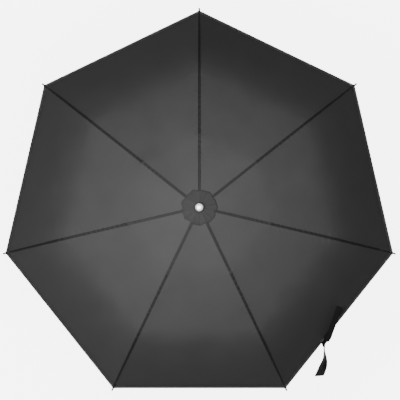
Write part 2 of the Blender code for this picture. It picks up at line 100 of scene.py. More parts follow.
# Colour and roughness
TEXTILE = {
    "panel": ((0.0385, 0.0385, 0.0395), 0.68),
    # the seam colour is darker than the panel: partly the felled seam's own tone, partly painted shade of
    # the narrow groove along each rib
    "seam": ((0.010, 0.010, 0.011), 0.62),
    "hem": ((0.020, 0.020, 0.022), 0.60),
    "rosette": ((0.023, 0.023, 0.024), 0.78),
    "strap": ((0.0035, 0.0035, 0.004), 0.85),
    "thread": ((0.015, 0.015, 0.016), 0.60),
}


# Shape of the frame and of the fabric over it


def unit(vector):
    return vector / np.linalg.norm(vector)


def directions(path):
    """Unit vectors along a path, one at each point."""
    ways = np.gradient(path, axis=0)
    return ways / np.linalg.norm(ways, axis=1)[:, None]


def way(deg):
    return np.array([math.cos(math.radians(deg)), math.sin(math.radians(deg))])


def turned(index, r, w):
    """Plan point at r out along a rib and w beside it."""
    azimuth = math.radians(FIRST + index * 360.0 / RIBS)
    c, s = math.cos(azimuth), math.sin(azimuth)
    return r * c - w * s, r * s + w * c


def half_name(index, side):
    """Number of the rib, and a or b for its side."""
    return f"{index + 1}{'ab'[side > 0]}"


def leg(start, slope, x, y):
    """Point (radius, height) at x along and y above a line that falls outward at the slope."""
    return np.asarray(start) + x * way(-slope) + y * way(90.0 - slope)


KNEE_1 = leg(CROWN, SLOPES[0], LENGTHS[0], KNEE)
MIDDLE_START = leg(KNEE_1, SLOPES[1], 0.0, -KNEE)
KNEE_2 = leg(MIDDLE_START, SLOPES[1], LENGTHS[1], -KNEE)
OUTER_START = leg(KNEE_2, SLOPES[2], 0.0, KNEE)
STARTS = (CROWN, MIDDLE_START, OUTER_START)


def bow_at(x):
    """Outward bend of the outer rib at x along it, which starts past its socket."""
    socket = 0.018
    share = min(max((x - socket) / (LENGTHS[2] - socket), 0.0), 1.0)
    return BOW * 4 * share * (1 - share)


def rib_profile():
    """Radii, heights of the fabric over a rib, and its softer heights at mid-panel."""
    rows = [leg(CROWN, SLOPES[0], x, LIFT) for x in (-0.0049, 0.030, 0.070, 0.115, 0.148)]
    rows.append(leg(KNEE_1, (SLOPES[0] + SLOPES[1]) / 2, 0.0, LIFT - KNEE + 0.0004))
    rows += [leg(MIDDLE_START, SLOPES[1], x, LIFT) for x in (0.018, 0.050, 0.095, 0.135, 0.162)]
    end = LENGTHS[2] - HEM_BACK
    for x in (0.014, 0.040, 0.070, 0.100, 0.130, 0.155, end):
        rows.append(leg(OUTER_START, SLOPES[2], x, LIFT + (LIFT_TIP - LIFT) * x / end + bow_at(x)))
    rows = np.array(rows)
    radii = np.linspace(rows[0, 0], rows[-1, 0], 480)
    heights = np.interp(radii, *rows.T)
    return radii, smoothed(heights, 14), smoothed(heights, 46)


def smoothed(heights, span):
    """Moving average with a raised-cosine window that reaches span steps each way."""
    before = heights[0] + (heights[1] - heights[0]) * np.arange(-span, 0)
    after = heights[-1] + (heights[-1] - heights[-2]) * np.arange(1, span + 1)
    kernel = np.hanning(2 * span + 3)[1:-1]
    return np.convolve(np.concatenate([before, heights, after]), kernel / kernel.sum(), "valid")


RADII, HEIGHTS, SOFT_HEIGHTS = rib_profile()
INNER_R, RIM_R = float(RADII[0]), float(RADII[-1])
# Where the panels are cut into segments: radius at a rib, and the same cuts' radius at mid-panel
BREAKS = (INNER_R, float(KNEE_1[0]) + 0.0006, float(KNEE_2[0]) + 0.0035, RIM_R)
MIDLINE = (INNER_R * math.cos(HALF) ** 2, BREAKS[1], 0.312, RIM_R * math.cos(HALF) ** 2)


def ripple(x, y, rho, gap):
    """Small unevenness of tensioned cloth: slow swells, pucker along a seam, bumps over the joints."""
    spot = Vector((x * 9.0, y * 9.0, 3.7))
    swell = 0.0012 * noise.noise(spot) + 0.0004 * noise.noise(spot * 3.1)
    calm = min(1.0, max(0.0, (rho - 0.03) / 0.12))
    wave = math.sin(rho * 560.0 + 5.0 * noise.noise(Vector((x * 20, y * 20, 1.3))))
    pucker = 0.00030 * math.exp(-gap / 0.011) * wave
    bumps = sum(math.exp(-((rho - knee) / 0.006) ** 2 - (gap / 0.006) ** 2) for knee in BREAKS[1:3])
    return swell * calm + pucker * calm + 0.0009 * bumps


def cloth_point(index, side, rho, share, lift=0.0):
    """Point of the canopy: rho is the radius at the rib, share runs from the rib (0) to mid-panel (1)."""
    r = rho * (1 - share * math.sin(HALF) ** 2)
    w = side * share * rho * math.sin(HALF) * math.cos(HALF)
    x, y = turned(index, r, w)
    along = min(max((rho - INNER_R) / (RIM_R - INNER_R), 0.0), 1.0)
    dip = SAG * math.sin(math.pi * along) * (1 - (1 - share) ** 2)
    soft = 1 - (1 - min(share, 1.0)) ** 3
    at_rib, at_middle = (float(np.interp(rho, RADII, row)) for row in (HEIGHTS, SOFT_HEIGHTS))
    height = (1 - soft) * at_rib + soft * at_middle
    if rho > RIM_R:
        height += (rho - RIM_R) * (HEIGHTS[-1] - HEIGHTS[-2]) / (RADII[1] - RADII[0])
    return np.array([x, y, height - dip + ripple(x, y, rho, abs(w)) + lift])


def cloth_normal(index, side, rho, share):
    step = 0.0015
    a = cloth_point(index, side, rho - step, share) - cloth_point(index, side, rho + step, share)
    low, high = max(share - 0.02, 0.0), share + 0.02
    b = cloth_point(index, side, rho, high) - cloth_point(index, side, rho, low)
    n = unit(np.cross(a, b))
    return n if n[2] > 0 else -n


def rib_point(index, r, z, w=0.0):
    return np.array([*turned(index, r, w), z])


def rho_at_azimuth(x, y):
    """Rib index, side, rho and share of a plan point."""
    turn = (math.degrees(math.atan2(y, x)) - FIRST) % 360.0
    index = int(turn // (360.0 / RIBS))
    off = math.radians(turn - index * 360.0 / RIBS - 180.0 / RIBS)
    radius = math.hypot(x, y)
    rho = radius * math.cos(off) / math.cos(HALF)
    across = math.tan(off) / math.tan(HALF)
    if across <= 0:
        return index, 1, rho, 1 + across
    return (index + 1) % RIBS, -1, rho, 1 - across


def over_cloth(x, y, lift=0.0):
    index, side, rho, share = rho_at_azimuth(x, y)
    return cloth_point(index, side, rho, share, lift)


# Meshes


def mesh_object(name, points, faces, uvs=None, normals=None, smooth=True):
    mesh = bpy.data.meshes.new(name)
    mesh.from_pydata(np.asarray(points, float).tolist(), [], [tuple(int(v) for v in f) for f in faces])
    if uvs is not None:
        layer = mesh.uv_layers.new(name="UVMap")
        for loop in mesh.loops:
            layer.data[loop.index].uv = uvs[loop.vertex_index]
    mesh.polygons.foreach_set("use_smooth", [smooth] * len(mesh.polygons))
    if normals is not None:
        mesh.normals_split_custom_set_from_vertices([tuple(n) for n in normals])
    mesh.update()
    made = bpy.data.objects.new(name, mesh)
    bpy.context.scene.collection.objects.link(made)
    return made


def grid_faces(rows, cols, closed=False, start=0):
    faces = []
    for i in range(rows - 1):
        for j in range(cols if closed else cols - 1):
            m = (j + 1) % cols
            faces.append((start + i * cols + j, start + i * cols + m,
                          start + (i + 1) * cols + m, start + (i + 1) * cols + j))
    return faces


def oriented(points, faces):
    """Faces turned so that most of the grid looks upward."""
    p = np.asarray(points)
    up = 0.0
    for f in faces:
        up += np.cross(p[f[1]] - p[f[0]], p[f[2]] - p[f[0]])[2]
    return faces if up >= 0 else [f[::-1] for f in faces]


def lathe(name, profile, sides):
    points, uvs = [], []
    run = 0.0
    for i, (r, z) in enumerate(profile):
        if i:
            run += math.dist(profile[i - 1], (r, z))
        for k in range(sides):
            a = 2 * math.pi * k / sides
            points.append((r * math.cos(a), r * math.sin(a), z))
            uvs.append((k / sides, run))
    faces = grid_faces(len(profile), sides, closed=True)
    made = mesh_object(name, points, faces, uvs)
    tidy_mesh(made)
    return made


def tidy_mesh(obj, angle=35.0):
    """Merges doubled points, faces outward, and keeps edges sharper than the angle."""
    work = bmesh.new()
    work.from_mesh(obj.data)
    bmesh.ops.remove_doubles(work, verts=work.verts, dist=1e-6)
    bmesh.ops.recalc_face_normals(work, faces=work.faces)
    work.to_mesh(obj.data)
    work.free()
    obj.data.set_sharp_from_angle(angle=math.radians(angle))


def rounded(points, radius, steps=3):
    """Profile with the corners between its two ends rounded."""
    rows = [points[0]]
    for a, b, c in zip(points, points[1:], points[2:]):
        a, b, c = map(np.array, (a, b, c))
        u, v = (a - b), (c - b)
        cut = min(radius, 0.45 * np.linalg.norm(u), 0.45 * np.linalg.norm(v))
        if cut < 1e-6:
            rows.append(tuple(b))
            continue
        p, q = b + unit(u) * cut, b + unit(v) * cut
        for t in np.linspace(0, 1, steps + 1):
            rows.append(tuple((1 - t) ** 2 * p + 2 * t * (1 - t) * b + t * t * q))
    return [*rows, points[-1]]


def swept(name, path, radius, sides):
    """Round thread along a path."""
    path = np.asarray(path, float)
    ways = directions(path)
    side = unit(np.cross(ways[0], (0.1, 0.2, 0.97)))
    points = []
    for p, d in zip(path, ways):
        side = unit(side - d * np.dot(side, d))
        up = np.cross(d, side)
        for k in range(sides):
            a = 2 * math.pi * k / sides
            points.append(p + radius * (math.cos(a) * side + math.sin(a) * up))
    faces = grid_faces(len(path), sides, closed=True)
    last = (len(path) - 1) * sides
    faces += [tuple(range(sides))[::-1], tuple(range(last, last + sides))]
    made = mesh_object(name, points, faces)
    tidy_mesh(made, 60.0)
    return made


# Materials


class Shader:
    """Small helper over a material's node tree."""

    def __init__(self, name, colour, rough, metal=0.0):
        self.material = bpy.data.materials.new(name)
        self.material.use_nodes = True
        self.tree = self.material.node_tree
        self.surface = self.tree.nodes["Principled BSDF"]
        self.set("Base Color", (*colour, 1.0))
        self.set("Roughness", rough)
        self.set("Metallic", metal)
        self.colour = colour
        self.material.diffuse_color = (*colour, 1.0)

    def set(self, socket, value):
        self.surface.inputs[socket].default_value = value
        return self

    def add(self, kind, settings=None, **values):
        node = self.tree.nodes.new(kind)
        for key, value in (settings or {}).items():
            setattr(node, key, value)
        for key, value in values.items():
            node.inputs[key.replace("_", " ")].default_value = value
        return node

    def link(self, out, into):
        self.tree.links.new(out, into)

    def coordinates(self, kind="Object", scale=(1, 1, 1)):
        source = self.add("ShaderNodeTexCoord")
        mapping = self.add("ShaderNodeMapping")
        mapping.inputs["Scale"].default_value = scale
        self.link(source.outputs[kind], mapping.inputs["Vector"])
        return mapping.outputs["Vector"]

    def noise(self, where, scale, detail=3.0, rough=0.55):
        node = self.add("ShaderNodeTexNoise", Scale=scale, Detail=detail, Roughness=rough)
        self.link(where, node.inputs["Vector"])
        return node.outputs["Fac"]

    def ramp(self, value, low, high, to_low, to_high):
        node = self.add("ShaderNodeMapRange")
        for key, v in zip(("From Min", "From Max", "To Min", "To Max"), (low, high, to_low, to_high)):
            node.inputs[key].default_value = v
        self.link(value, node.inputs["Value"])
        return node.outputs["Result"]

    def maths(self, operation, a, b=0.0):
        node = self.add("ShaderNodeMath", {"operation": operation})
        for socket, value in zip(node.inputs, (a, b)):
            if isinstance(value, (int, float)):
                socket.default_value = value
            else:
                self.link(value, socket)
        return node.outputs[0]

    def shade(self, value, low, high):
        """Base colour scaled between two shares by a value from 0 to 1."""
        node = self.add("ShaderNodeMix", {"data_type": "RGBA"})
        node.inputs["A"].default_value = (*(c * low for c in self.colour), 1.0)
        node.inputs["B"].default_value = (*(c * high for c in self.colour), 1.0)
        self.link(value, node.inputs["Factor"])
        self.link(node.outputs["Result"], self.surface.inputs["Base Color"])
        return self

    def rough(self, value, low, high):
        self.link(self.ramp(value, 0.3, 0.7, low, high), self.surface.inputs["Roughness"])
        return self

    def bump(self, height, strength, distance):
        node = self.add("ShaderNodeBump", Strength=strength, Distance=distance)
        self.link(height, node.inputs["Height"])
        self.link(node.outputs["Normal"], self.surface.inputs["Normal"])
        return self


def weave(shader, where, pitch):
    """Height of a plain weave from two crossed sine waves, in the piece's own flat coordinates."""
    split = shader.add("ShaderNodeSeparateXYZ")
    shader.link(where, split.inputs["Vector"])
    waves = []
    for axis in ("X", "Y"):
        turned = shader.maths("MULTIPLY", split.outputs[axis], 2 * math.pi / pitch)
        waves.append(shader.maths("SINE", turned))
    product = shader.maths("MULTIPLY", *waves)
    return shader.ramp(product, -1.0, 1.0, 0.0, 1.0)


def cloth_material(name, kind, pitch=0.0006, sheen=0.0, strength=0.35, wear=0.12, specular=0.2):
    """Plain weave with threads at the pitch, clouded by wear."""
    colour, rough = TEXTILE[kind]
    shader = Shader(name, colour, rough)
    shader.set("Specular IOR Level", specular)
    shader.set("Sheen Weight", sheen).set("Sheen Roughness", 0.4)
    flat = shader.coordinates("UV")
    height = weave(shader, flat, pitch)
    cloud = shader.noise(shader.coordinates("Object"), 14.0, 4.0)
    weaves, clouds = shader.maths("MULTIPLY", height, 0.35), shader.maths("MULTIPLY", cloud, 0.65)
    tone = shader.maths("ADD", weaves, clouds)
    shader.shade(tone, 1.0 - 2 * wear, 1.0 + 2 * wear)
    shader.rough(cloud, rough - 0.04, rough + 0.04)
    shader.bump(height, strength, 0.00012)
    return shader.material


def metal_material(name, colour, rough, draw, wear):
    """Drawn metal: draw stretches its fine lines along an axis."""
    shader = Shader(name, colour, rough, 1.0)
    lines = shader.noise(shader.coordinates("Object", draw), 90.0, 4.0, 0.7)
    spots = shader.noise(shader.coordinates("Object"), 55.0, 5.0, 0.7)
    shader.shade(spots, 1.0 - wear, 1.0 + wear)
    shader.rough(lines, rough - 0.07, rough + 0.1)
    shader.bump(lines, 0.12, 0.00008)
    return shader.material


def plastic_material(name, colour, rough, grain=2200.0, strength=0.15):
    """Moulded plastic with a fine grain and slow wear."""
    shader = Shader(name, colour, rough)
    where = shader.coordinates("Object")
    fine, wide = shader.noise(where, grain, 2.0), shader.noise(where, 45.0, 5.0, 0.7)
    shader.shade(wide, 0.8, 1.25)
    shader.rough(wide, rough - 0.06, rough + 0.08)
    shader.bump(fine, strength, 0.00006)
    return shader.material


# Canopy


def squash_way(index, side, part):
    """Direction square to a rib's segment, from the rib towards mid-panel."""
    delta = np.array([-math.sin(HALF), side * math.cos(HALF), 0.0])
    slope = math.radians(SLOPES[part])
    along = np.array([math.cos(slope), 0.0, -math.sin(slope)])
    across = unit(delta - along * np.dot(delta, along))
    return rib_point(index, across[0], across[2], across[1])


def gather(obj, index, side, part, way=None):
    anchor = cloth_point(index, side, (BREAKS[part] + BREAKS[part + 1]) / 2, 0.0)
    way = squash_way(index, side, part) if way is None else way
    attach(obj, f"rib_{PARTS[part]}_{index + 1}")
    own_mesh(obj)


def area_of(points, faces):
    p = np.asarray(points)
    total = 0.0
    for f in faces:
        for a, b in zip(f[1:], f[2:]):
            total += np.linalg.norm(np.cross(p[a] - p[f[0]], p[b] - p[f[0]])) / 2
    return float(total)


def flattest_way(points, index, side, part):
    """Direction square to the rib along which these points spread most."""
    ends = (BREAKS[part] + 0.01, BREAKS[part + 1] - 0.01)
    low, high = (cloth_point(index, side, rho, 0.0) for rho in ends)
    along = unit(high - low)
    apart = np.asarray(points) - low
    apart -= np.outer(apart @ along, along)
    return np.linalg.svd(apart, full_matrices=False)[2][0]


def cut_line(number, v):
    """Point of a cut across half a panel, as radius and distance beside the rib; v runs to mid-panel."""
    along = BREAKS[number] + (MIDLINE[number] - BREAKS[number]) * v
    return np.array([along, MIDLINE[number] * math.tan(HALF) * v])


def half_band(index, side, part, material):
    """Half a panel's width, from its rib to mid-panel, over one segment of the rib."""
    rows, cols = max(12, int((BREAKS[part + 1] - BREAKS[part]) / 0.0055)), 24
    slope = math.radians(SLOPES[part])
    points, normals, uvs = [], [], []
    for u in np.linspace(0, 1, rows):
        for j in range(cols):
            v = (j / (cols - 1)) ** 1.25
            r, w = cut_line(part, v) * (1 - u) + cut_line(part + 1, v) * u
            rho = r + w * math.tan(HALF)
            share = min(w / (rho * math.sin(HALF) * math.cos(HALF)), 1.0)
            points.append(cloth_point(index, side, rho, share))
            normals.append(cloth_normal(index, side, rho, share))
            uvs.append((share * rho * math.sin(HALF), rho * math.cos(HALF) / math.cos(slope)))
    faces = oriented(points, grid_faces(rows, cols))
    obj = mesh_object(f"canopy_{PARTS[part]}_{half_name(index, side)}", points, faces, uvs, normals)
    obj.data.materials.append(material)
    gather(obj, index, side, part, flattest_way(points, index, side, part))
    panel = index + 1 if side > 0 else (index - 1) % RIBS + 1
    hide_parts(f"canopy_panel_{panel}")


def build_canopy():
    material = cloth_material("canopy_cloth", "panel", sheen=0.03, specular=0.1)
    for index in range(RIBS):
        for side in (-1, 1):
            for part in range(3):
                half_band(index, side, part, material)


def ribbon(name, path, across, half, thick, material):
    """Flat closed ribbon along a path, with a rounded section."""
    inner = half * 0.86
    section = [(-half, 0.0), (-inner, 1.0), (inner, 1.0), (half, 0.0), (inner, -0.2), (-inner, -0.2)]
    path, across = np.asarray(path, float), np.asarray(across, float)
    ways = directions(path)
    points, uvs, run = [], [], 0.0
    for i, p in enumerate(path):
        run += math.dist(path[i - 1], p) if i else 0.0
        up = unit(np.cross(ways[i], across[i]))
        if up[2] < 0:
            up = -up
        for s, h in section:
            points.append(p + across[i] * s + up * h * thick)
            uvs.append((s, run))
    count = len(section)
    faces = grid_faces(len(path), count, closed=True)
    last = (len(path) - 1) * count
    faces += [tuple(range(count))[::-1], tuple(range(last, last + count))]
    made = mesh_object(name, points, faces, uvs)
    tidy_mesh(made, 50.0)
    made.data.materials.append(material)
    return made


def seam(index, name, bodies, start, end, low, high, material, thread):
    """Felled seam over a rib with a row of stitches each side, bending over one knee."""
    half, thick, step = 0.0030, 0.0006, 0.0024
    pitch, length, beside, above = 0.0032, 0.0021, 0.0016, 0.00088
    radii = np.linspace(low, high, max(8, int((high - low) / step)))
    path = [cloth_point(index, 1, rho, 0.0, 0.0002) for rho in radii]
    sideways = [rib_point(index, 0.0, 0.0, 1.0)] * len(path)
    body = ribbon(name, path, sideways, half, thick, material)
    stitches = []
    for rho in np.arange(low + 0.002, high - 0.002, pitch):
        for w in (-beside, beside):
            a = cloth_point(index, 1, rho, 0.0, above)
            b = cloth_point(index, 1, rho + length, 0.0, above)
            stitches.append((a + rib_point(index, 0, 0, w), b + rib_point(index, 0, 0, w)))
    row = dashes(name + "_stitches", stitches, THREAD, thread)
    for obj in (body, row):
        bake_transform(obj)


def dashes(name, spans, radius, material):
    """Many short stitches as one mesh of slim lozenges."""
    points, faces = [], []
    for a, b in spans:
        d = unit(b - a)
        side = unit(np.cross(d, UP))
        up = np.cross(side, d)
        base = len(points)
        points += [a, b]
        for t in (0.25, 0.75):
            middle = a + (b - a) * t
            points += [middle + radius * v for v in (side, up, -side, -up)]
        for k in range(4):
            m = (k + 1) % 4
            faces.append((base, base + 2 + m, base + 2 + k))
            faces.append((base + 2 + k, base + 2 + m, base + 6 + m, base + 6 + k))
            faces.append((base + 6 + k, base + 6 + m, base + 1))
    made = mesh_object(name, points, faces)
    made.data.materials.append(material)
    return made


def knee_marks(index, part):
    """Points just before and after a knee, on the fabric."""
    knee = BREAKS[part + 1]
    return (cloth_point(index, 1, knee - KNEE_REACH, 0.0), cloth_point(index, 1, knee + KNEE_REACH, 0.0))


def knee_tape(index, part, material):
    """Reinforcing tape under the fabric at a knee."""
    knee, reach, width, below = BREAKS[part + 1], 0.022, 0.022, 0.0007
    radii = np.linspace(knee - reach, knee + reach, 23)
    points, uvs = [], []
    cols = 9
    for rho in radii:
        for j in range(cols):
            w = (j / (cols - 1) - 0.5) * width
            share = abs(w) / (rho * math.sin(HALF) * math.cos(HALF))
            points.append(cloth_point(index, 1 if w >= 0 else -1, rho, share, -below))
            uvs.append((w, rho))
    faces = oriented(points, grid_faces(len(radii), cols))
    obj = mesh_object(f"knee_tape_{part + 1}_{index + 1}", points, faces, uvs)
    obj.data.materials.append(material)
    start, end = knee_marks(index, part)
    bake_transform(obj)


def build_seams():
    # seam cloth, also used for the knee tapes: darkened partly as painted shade of the groove along each
    # rib
    material = cloth_material("seam_cloth_with_painted_shade", "seam", wear=0.2)
    thread = cloth_material("thread", "thread", wear=0.2)
    cuts = (0.013, (BREAKS[1] + BREAKS[2]) / 2, RIM_R)
    for index in range(RIBS):
        names = [f"rib_{part}_{index + 1}" for part in PARTS]
        for part, label in enumerate(("near", "far")):
            seam(index, f"seam_{label}_{index + 1}", names[part:part + 2], *knee_marks(index, part),
                 *cuts[part:part + 2], material, thread)
        for part in (0, 1):
            knee_tape(index, part, material)


def hem(index, side, material, thread):
    """Double-turned hem along half of a panel's edge, with its stitching."""
    cols, pitch, stitch, above = 34, 0.0034, 0.0022, 0.00075
    points, uvs = [], []
    for beyond, lift in HEM_SECTION:
        rho = RIM_R + beyond
        for j in range(cols):
            share = j / (cols - 1)
            points.append(cloth_point(index, side, rho, share, lift))
            uvs.append((share * rho * math.sin(HALF), rho + lift))
    last = (len(HEM_SECTION) - 1) * cols
    faces = grid_faces(len(HEM_SECTION), cols)
    faces += [(last + j, last + j + 1, j + 1, j) for j in range(cols - 1)]
    obj = mesh_object(f"hem_{half_name(index, side)}", points, faces, uvs)
    tidy_mesh(obj, 60.0)
    obj.data.materials.append(material)
    spans, length = [], RIM_R * math.sin(HALF) * math.cos(HALF)
    for s in np.arange(0.004, length, pitch):
        shares = [min((s + d) / length, 1.0) for d in (0.0, stitch)]
        spans.append(tuple(cloth_point(index, side, RIM_R - HEM_INSET, share, above) for share in shares))
    row = dashes(obj.name + "_stitches", spans, THREAD, thread)
    for piece in (obj, row):
        gather(piece, index, side, 2)


def build_hems():
    material = cloth_material("hem_cloth", "hem")
    thread = bpy.data.materials["thread"]
    for index in range(RIBS):
        for side in (-1, 1):
            hem(index, side, material, thread)


def rosette_edge(azimuth):
    """Radius of the patch's edge, cut a little unevenly."""
    return ROSETTE_R + 0.0012 * math.sin(7 * azimuth + 0.6) + 0.0009 * math.sin(13 * azimuth + 2.0)


def rosette_lift(radius, azimuth):
    """Height of the patch over the canopy: gathers at its neck and waves at its edge."""
    gathers = 0.0005 * math.sin(14 * azimuth) * math.exp(-radius / 0.016)
    waves = 0.0006 * (radius / ROSETTE_R) ** 6 * math.sin(9 * azimuth + 1.0)
    return ROSETTE_UP + gathers + waves + 0.0006 * math.exp(-radius / 0.008)


def over_rosette(radius, azimuth, lift=0.0):
    x, y = radius * math.cos(azimuth), radius * math.sin(azimuth)
    return over_cloth(x, y, rosette_lift(radius, azimuth) + lift)


def rosette_piece(name, turns, shares, material):
    """Part of the patch between two azimuths and two shares of its radius."""
    points, uvs = [], []
    for share in shares:
        for a in turns:
            radius = ROSETTE_HOLE + (rosette_edge(a) - ROSETTE_HOLE) * share
            points.append(over_rosette(radius, a))
            uvs.append((radius * math.cos(a), radius * math.sin(a)))
    faces = oriented(points, grid_faces(len(shares), len(turns)))
    obj = mesh_object(name, points, faces, uvs)
    obj.data.materials.append(material)
    area = area_of(points, faces)
    solid = obj.modifiers.new("cloth", "SOLIDIFY")
    solid.thickness, solid.offset = 0.0007, 0.0
    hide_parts("top_rosette")
    return obj, area


def rosette_gather(obj, index, side):
    """Folds half a sector down with its rib."""
    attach(obj, f"rib_inner_{index + 1}")
    anchor = cloth_point(index, side, 0.030, 0.0, ROSETTE_UP)
    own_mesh(obj)


def build_rosette():
    """Round patch over the crown: a fixed neck, and half-sectors that fold down with the ribs."""
    material = cloth_material("rosette_cloth", "rosette", pitch=0.0008, wear=0.2)
    turns, shares = np.linspace(0, 2 * math.pi, 169), np.linspace(0, ROSETTE_NECK, 6)
    obj, area = rosette_piece("rosette_neck", turns, shares, material)
    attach(obj, "upper_shaft")
    shares = np.linspace(ROSETTE_NECK, 1, 18)
    for index in range(RIBS):
        centre = math.radians(FIRST + index * 360.0 / RIBS)
        for side in (-1, 1):
            label = half_name(index, side)
            turns = centre + side * HALF * np.linspace(0, 1, 13)
            obj, area = rosette_piece(f"rosette_{label}", turns, shares, material)
            rosette_gather(obj, index, side)
            spans = []
            for a in np.linspace(0, HALF, 6)[:-1] + 0.004:
                pair = centre + side * np.array([a, a + 0.055])
                spans.append(tuple(over_rosette(ROSETTE_STITCHED, t, 0.0005) for t in pair))
            row = dashes(f"rosette_stitches_{label}", spans, 0.0003, bpy.data.materials["thread"])
            rosette_gather(row, index, side)


# Closure strap


def ease(t):
    """Smooth step from 0 to 1."""
    return t * t * (3 - 2 * t)


def strap_path():
    """Centre line and twist of the strap, from its sewn end to its free end."""
    sewn, rim, free = (np.array(p) for p in STRAP_PLAN)
    rows, drop, bend = [], 0.074, 0.022
    for t in np.linspace(0, 1, SEWN_ROWS):
        spot = sewn + (rim - sewn) * t
        rows.append((over_cloth(*spot, 0.0013), 0.0))
    last = rows[-1][0]
    for t in np.linspace(0, 1, HANGING_ROWS)[1:]:
        plan = rim + (free - rim) * t
        sway = 0.004 * math.sin(math.pi * t) - 0.002 * math.sin(2 * math.pi * t)
        z = last[2] - drop * t - bend * t * t
        rise = min(t / 0.16, 1.0)
        fall = min(max((t - 0.30) / 0.55, 0.0), 1.0)
        twist = math.radians(80.0) * (ease(rise) - 0.9 * ease(fall))
        rows.append((np.array([plan[0] + sway, plan[1], z]), twist))
    return rows


def build_strap():
    """Woven strap with folded edges and a bar tack at the hem."""
    material = cloth_material("strap_cloth", "strap", pitch=0.0012, strength=0.6, wear=0.25)
    rows = strap_path()
    centre = np.array([r[0] for r in rows])
    ways = directions(centre)
    cols = 9
    points, uvs = [], []
    for layer in (1, -1):
        run = 0.0
        for i, ((p, twist), d) in enumerate(zip(rows, ways)):
            run += math.dist(centre[i - 1], p) if i else 0.0
            flat, up = strap_frame(d)
            wide = math.cos(twist) * flat + math.sin(twist) * up
            normal = np.cross(wide, d)
            slant = max(0.0, (i - len(rows) + 1 + SLANTED_ROWS) / SLANTED_ROWS)
            broad = STRAP_HALF * (1.14 if i < SEWN_ROWS - 2 else 1.0)
            for j in range(cols):
                s = j / (cols - 1) * 2 - 1
                ridge = STRAP_THICK * (1 - 0.7 * abs(s) ** 6)
                points.append(p + wide * s * broad + d * s * STRAP_SLANT * slant + normal * ridge * layer)
                uvs.append((s * STRAP_HALF, run))
    count = len(rows) * cols
    faces = grid_faces(len(rows), cols) + [f[::-1] for f in grid_faces(len(rows), cols, start=count)]
    for i in range(len(rows) - 1):
        for j in (0, cols - 1):
            a, b = i * cols + j, (i + 1) * cols + j
            faces.append((a, b, b + count, a + count))
    for i in (0, len(rows) - 1):
        for j in range(cols - 1):
            a = i * cols + j
            faces.append((a, a + 1, a + 1 + count, a + count))
    obj = mesh_object("strap", points, faces, uvs)
    tidy_mesh(obj, 60.0)
    obj.data.materials.append(material)
    strap_rides(obj)
    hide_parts("closure_strap")
    strap_stitches(rows, ways)


def strap_frame(d):
    """Level direction across the strap's way, and the one square to both."""
    flat = unit(np.cross(d, UP))
    return flat, np.cross(flat, d)


def strap_rides(obj):
    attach(obj, "rib_outer_5")
    anchor = cloth_point(STRAP_RIB, 1, (BREAKS[2] + BREAKS[3]) / 2, 0.0, 0.002)
    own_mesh(obj)


def strap_stitches(rows, ways):
    """Stitches along both edges of the sewn part, and two bars across each of its ends."""
    spans, above = [], 0.0007
    last = SEWN_ROWS - 3
    for i in range(1, last + 1):
        (p, _), d = rows[i], ways[i]
        flat, up = strap_frame(d)
        for s in (-0.0082, 0.0082):
            a = p + flat * s + up * above
            spans.append((a - d * 0.0012, a + d * 0.0012))
        if i in (1, 2, last - 1, last):
            for s in np.linspace(-0.008, 0.006, 6):
                a = p + flat * s + up * above
                spans.append((a, a + flat * 0.0022))
    row = dashes("strap_stitches", spans, 0.00028, bpy.data.materials["thread"])
    strap_rides(row)


# Hard parts


def build_ferrule():
    shader = Shader("ferrule_finish", (0.78, 0.78, 0.77), 0.3, 0.35)
    where = shader.coordinates("Object")
    spots = shader.noise(where, 240.0, 5.0, 0.7)
    shader.shade(spots, 0.93, 1.04).rough(spots, 0.22, 0.40)
    shader.set("Coat Weight", 0.25)
    shader.bump(shader.noise(where, 900.0, 2.0), 0.06, 0.00005)
    low, top, bore, bore_end = 0.5500, 0.5638, 0.0043, 0.5573
    inside = [(0.0, bore_end), (bore, bore_end), (bore, low)]
    outside = [(bore, low), (0.0086, low), (0.0095, low + 0.0012), (0.0095, low + 0.0030),
               (0.0091, low + 0.0034), (0.0091, low + 0.0038), (0.0095, low + 0.0042),
               (0.0093, top - 0.0066), (0.0086, top - 0.0036), (0.0070, top - 0.0016),
               (0.0045, top - 0.0005), (0.0, top)]
    obj = lathe("ferrule", [*inside, *rounded(outside, 0.0007)[1:]], 72)
    obj.data.materials.append(shader.material)
    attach(obj, "upper_shaft")
    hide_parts("ferrule_cap")


def tube(name, node, body, outer, inner, low, high, material):
    """Drawn tube with a rolled bead at its open end."""
    bead = outer + 0.00012
    profile = [(inner, low), (outer, low), (outer, high - 0.0045), (bead, high - 0.0040),
               (bead, high - 0.0030), (outer, high - 0.0025), (outer, high), (inner, high), (inner, low)]
    obj = lathe(name, rounded(profile, 0.0002), 72)
    obj.data.materials.append(material)
    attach(obj, body)
    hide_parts(node)


def build_shaft():
    chrome = metal_material("shaft_plating", (0.60, 0.61, 0.63), 0.24, draw=(1, 1, 0.03), wear=0.08)
    tube("shaft_upper", "upper_tube", "upper_shaft", 0.00660, 0.0060, 0.334, 0.5362, chrome)
    tube("shaft_middle", "middle_tube", "middle_shaft", 0.00565, 0.00505, 0.204, 0.366, chrome)
    tube("shaft_lower", "lower_tube", "handle", 0.00470, 0.0041, 0.008, 0.236, chrome)


